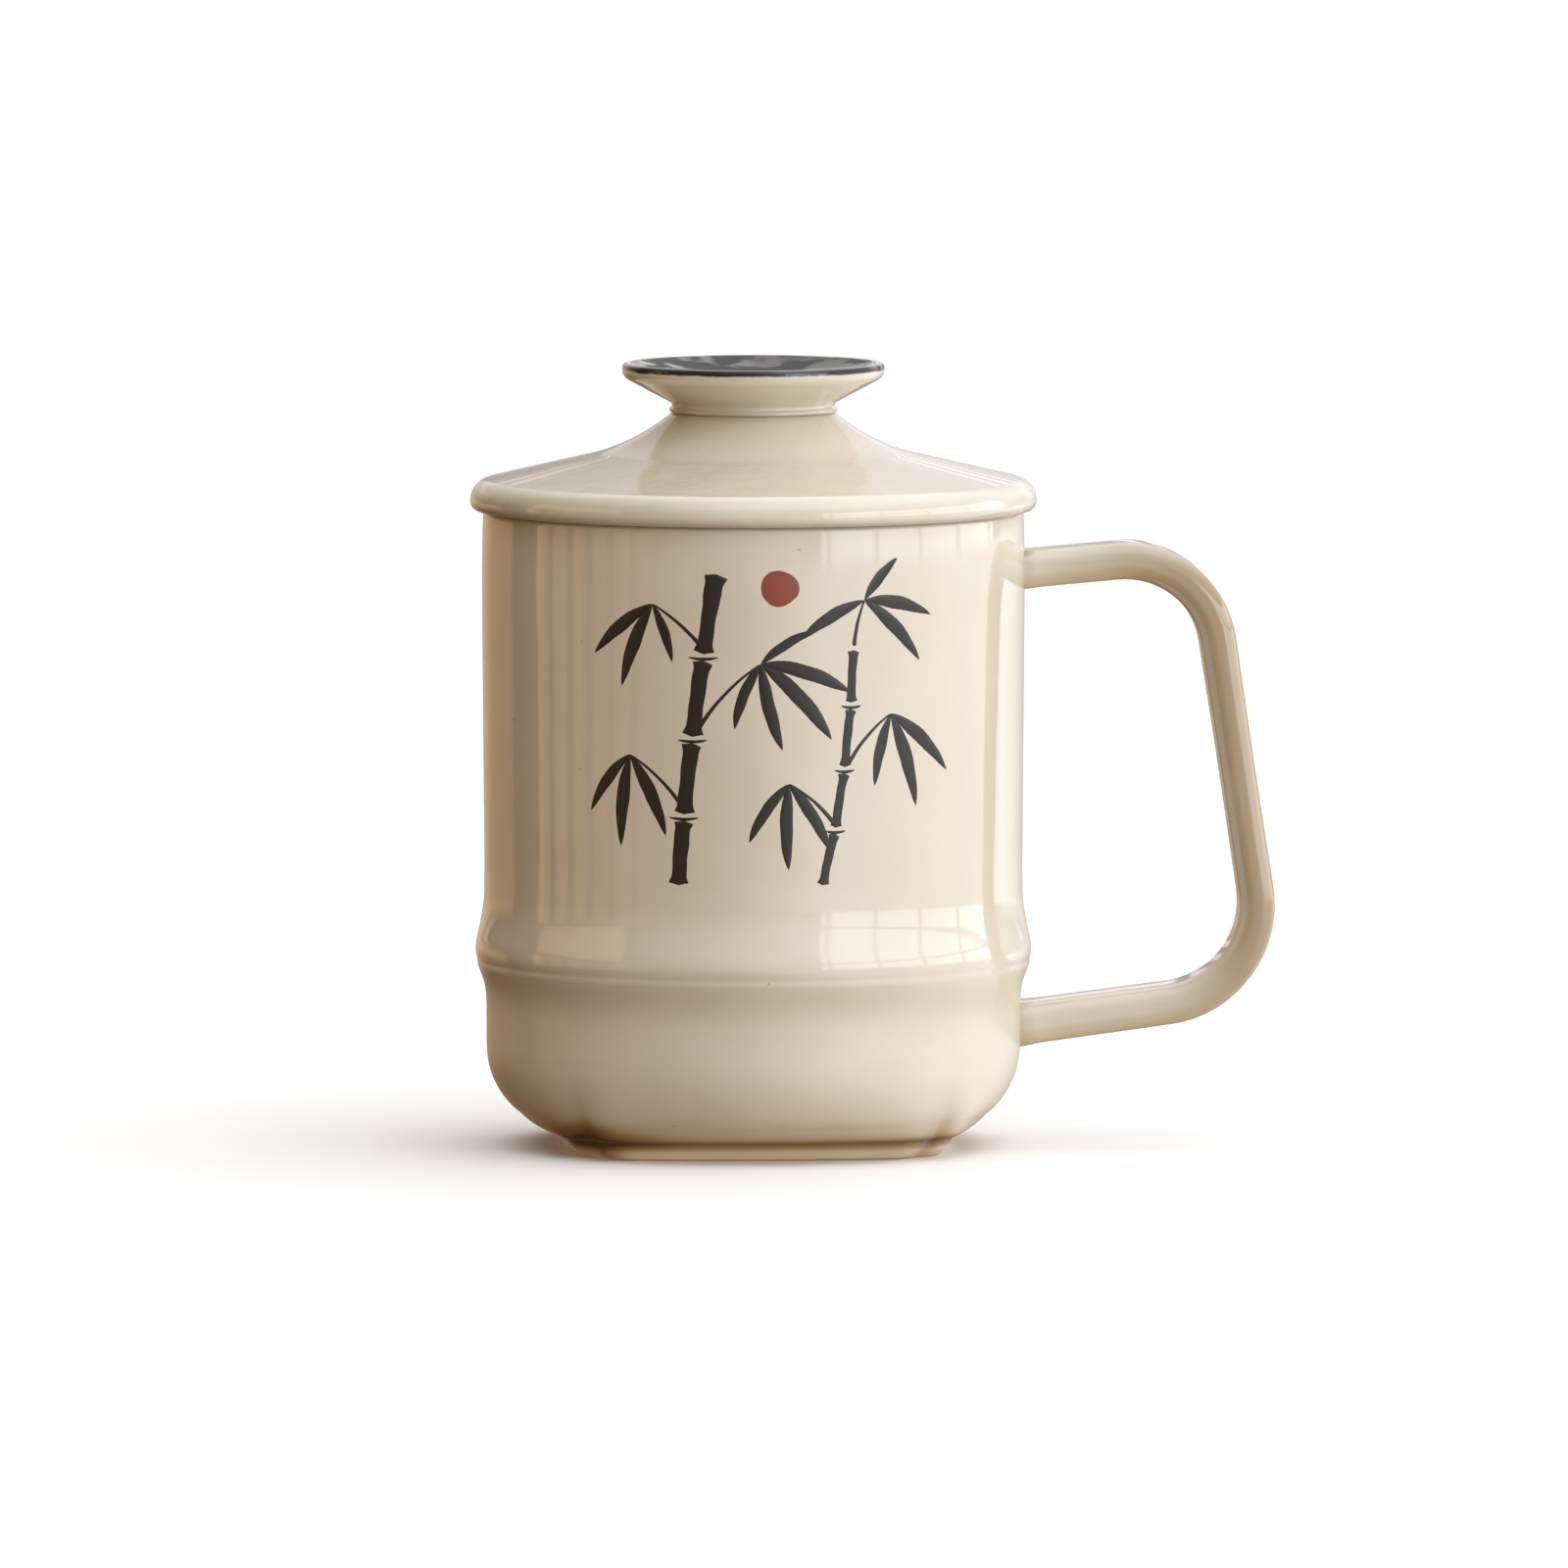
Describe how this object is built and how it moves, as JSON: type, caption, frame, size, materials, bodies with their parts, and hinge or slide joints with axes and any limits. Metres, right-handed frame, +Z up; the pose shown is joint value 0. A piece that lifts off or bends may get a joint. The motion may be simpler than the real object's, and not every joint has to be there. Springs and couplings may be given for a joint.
{
  "type": "lidded tea mug",
  "caption": "Straight stoneware tea mug with a bamboo-joint ring, lobed square-set foot, squared strap handle, lift-out strainer and loose lid with a dished knob.",
  "frame": {"origin": "centre of the foot ring, in the plane of its face, on the cup's axis", "axes": "+Z up along the cup's axis, +X towards the handle, -Y towards the decorated front"},
  "size_m": [0.1314, 0.0924, 0.1279],
  "materials": {
    "cream_glaze": "glossy cream glaze on stoneware, bare clay on the foot face",
    "black_glaze": "mirror-black glaze on the knob's dish and lip over the cream glaze"
  },
  "bodies": {
    "cup": {"cup_body": "cream_glaze", "handle": "cream_glaze"},
    "strainer_unit": {"strainer": "cream_glaze"},
    "lid_unit": {"lid": "cream_glaze", "lid_knob": "black_glaze"}
  },
  "joints": [
    {"name": "strainer_lift", "type": "slide", "parent": "cup", "child": "strainer_unit", "axis": [0, 0, 1], "range_m": [0, 0.065]},
    {"name": "lid_lift", "type": "slide", "parent": "strainer_unit", "child": "lid_unit", "axis": [0, 0, 1], "range_m": [0, 0.045]}
  ]
}
